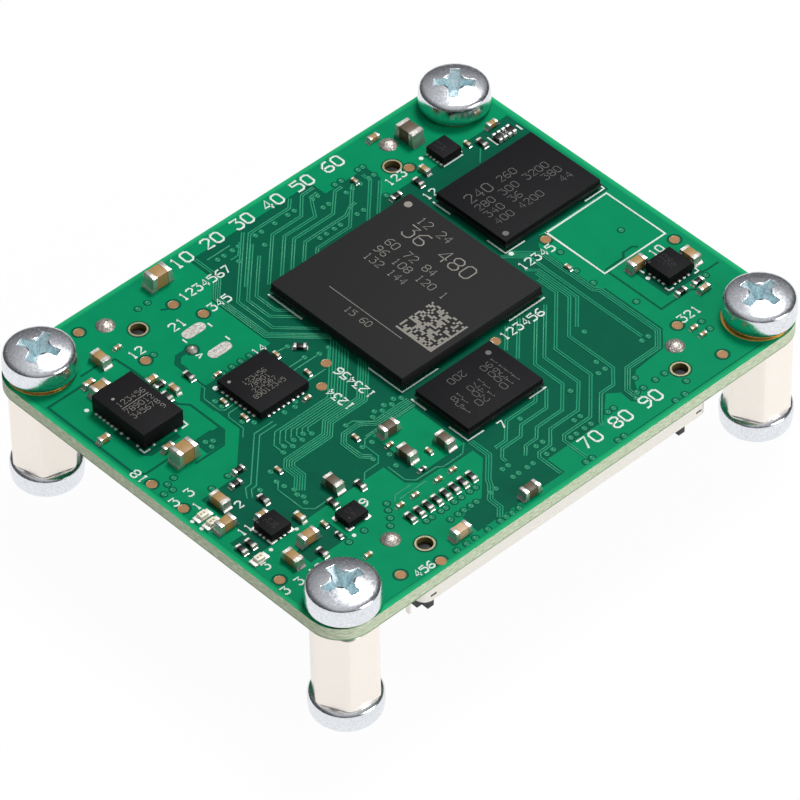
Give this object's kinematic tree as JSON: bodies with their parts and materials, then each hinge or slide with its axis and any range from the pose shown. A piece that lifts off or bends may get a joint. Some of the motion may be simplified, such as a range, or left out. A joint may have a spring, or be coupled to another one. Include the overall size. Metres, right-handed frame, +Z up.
{
  "type": "system on module",
  "caption": "Green system-on-module circuit board with processor, memory and power chips, board-to-board connectors underneath and hexagon spacers with screws at its corners.",
  "frame": {"origin": "plane of the foot screws' heads, under the middle of the board", "axes": "+X along the board's long edge, +Y along its short edge towards the rear connector, +Z up through the board"},
  "size_m": [0.0502, 0.0404, 0.0141],
  "materials": {
    "solder_mask": "satin green solder mask over glass-epoxy laminate",
    "gold_plate": "gold over nickel, satin",
    "bare_copper": "bare copper with a clear preservative, matte",
    "solder": "reflowed solder, satin",
    "tinned_terminal": "matte tin plate",
    "nickel_spacer": "nickel plate, bright",
    "zinc_screw": "blue-passivated zinc plate",
    "mold_compound": "black epoxy mould compound, matte",
    "package_substrate": "dark green laminate edge",
    "capacitor_ceramic": "tan ceramic, satin",
    "resistor_glaze": "black glaze on alumina",
    "lamp_resin": "clear to milky resin",
    "ferrite": "dark ferrite, matte",
    "connector_plastic": "black glass-filled plastic",
    "connector_shield": "tin-plated copper alloy, satin",
    "contact_gold": "gold plate, bright"
  },
  "bodies": {
    "root": {"circuit_board": "solder_mask", "mounting_pads": "gold_plate", "test_pads": "bare_copper", "peg_hole_rings": "gold_plate", "jumper_pads": "solder", "lock_pin_solder": "solder", "spacer_front": "nickel_spacer", "spacer_right": "nickel_spacer", "spacer_left": "nickel_spacer", "spacer_rear": "nickel_spacer", "top_screws": "zinc_screw", "foot_screws": "zinc_screw", "processor_mold": "mold_compound", "processor_substrate": "package_substrate", "processor_balls": "solder", "memory_mold": "mold_compound", "memory_substrate": "package_substrate", "memory_balls": "solder", "flash_mold": "mold_compound", "flash_substrate": "package_substrate", "flash_balls": "solder", "controller_body": "mold_compound", "controller_lands": "tinned_terminal", "power_module_body": "mold_compound", "power_module_lands": "tinned_terminal", "termination_regulator_body": "mold_compound", "termination_regulator_lands": "tinned_terminal", "memory_regulator_body": "mold_compound", "memory_regulator_lands": "tinned_terminal", "load_switch_body": "mold_compound", "load_switch_lands": "tinned_terminal", "oscillator_body": "mold_compound", "oscillator_lands": "tinned_terminal", "resistor_array_body": "resistor_glaze", "resistor_array_terminals": "tinned_terminal", "bulk_capacitor_bodies": "capacitor_ceramic", "bulk_capacitor_terminals": "tinned_terminal", "filter_capacitor_bodies": "capacitor_ceramic", "filter_capacitor_terminals": "tinned_terminal", "bypass_capacitor_bodies": "capacitor_ceramic", "bypass_capacitor_terminals": "tinned_terminal", "tiny_capacitor_bodies": "capacitor_ceramic", "tiny_capacitor_terminals": "tinned_terminal", "resistor_bodies": "resistor_glaze", "resistor_terminals": "tinned_terminal", "indicator_lamp_bodies": "lamp_resin", "indicator_lamp_terminals": "tinned_terminal", "front_connector_housing": "connector_plastic", "front_connector_shield": "connector_shield", "front_connector_contacts": "contact_gold", "rear_connector_housing": "connector_plastic", "rear_connector_shield": "connector_shield", "rear_connector_contacts": "contact_gold", "underside_chip_bodies": "mold_compound", "underside_chip_lands": "tinned_terminal", "underside_capacitor_bodies": "capacitor_ceramic", "underside_capacitor_terminals": "tinned_terminal", "underside_inductor_body": "ferrite", "underside_inductor_terminals": "tinned_terminal"}
  },
  "joints": []
}
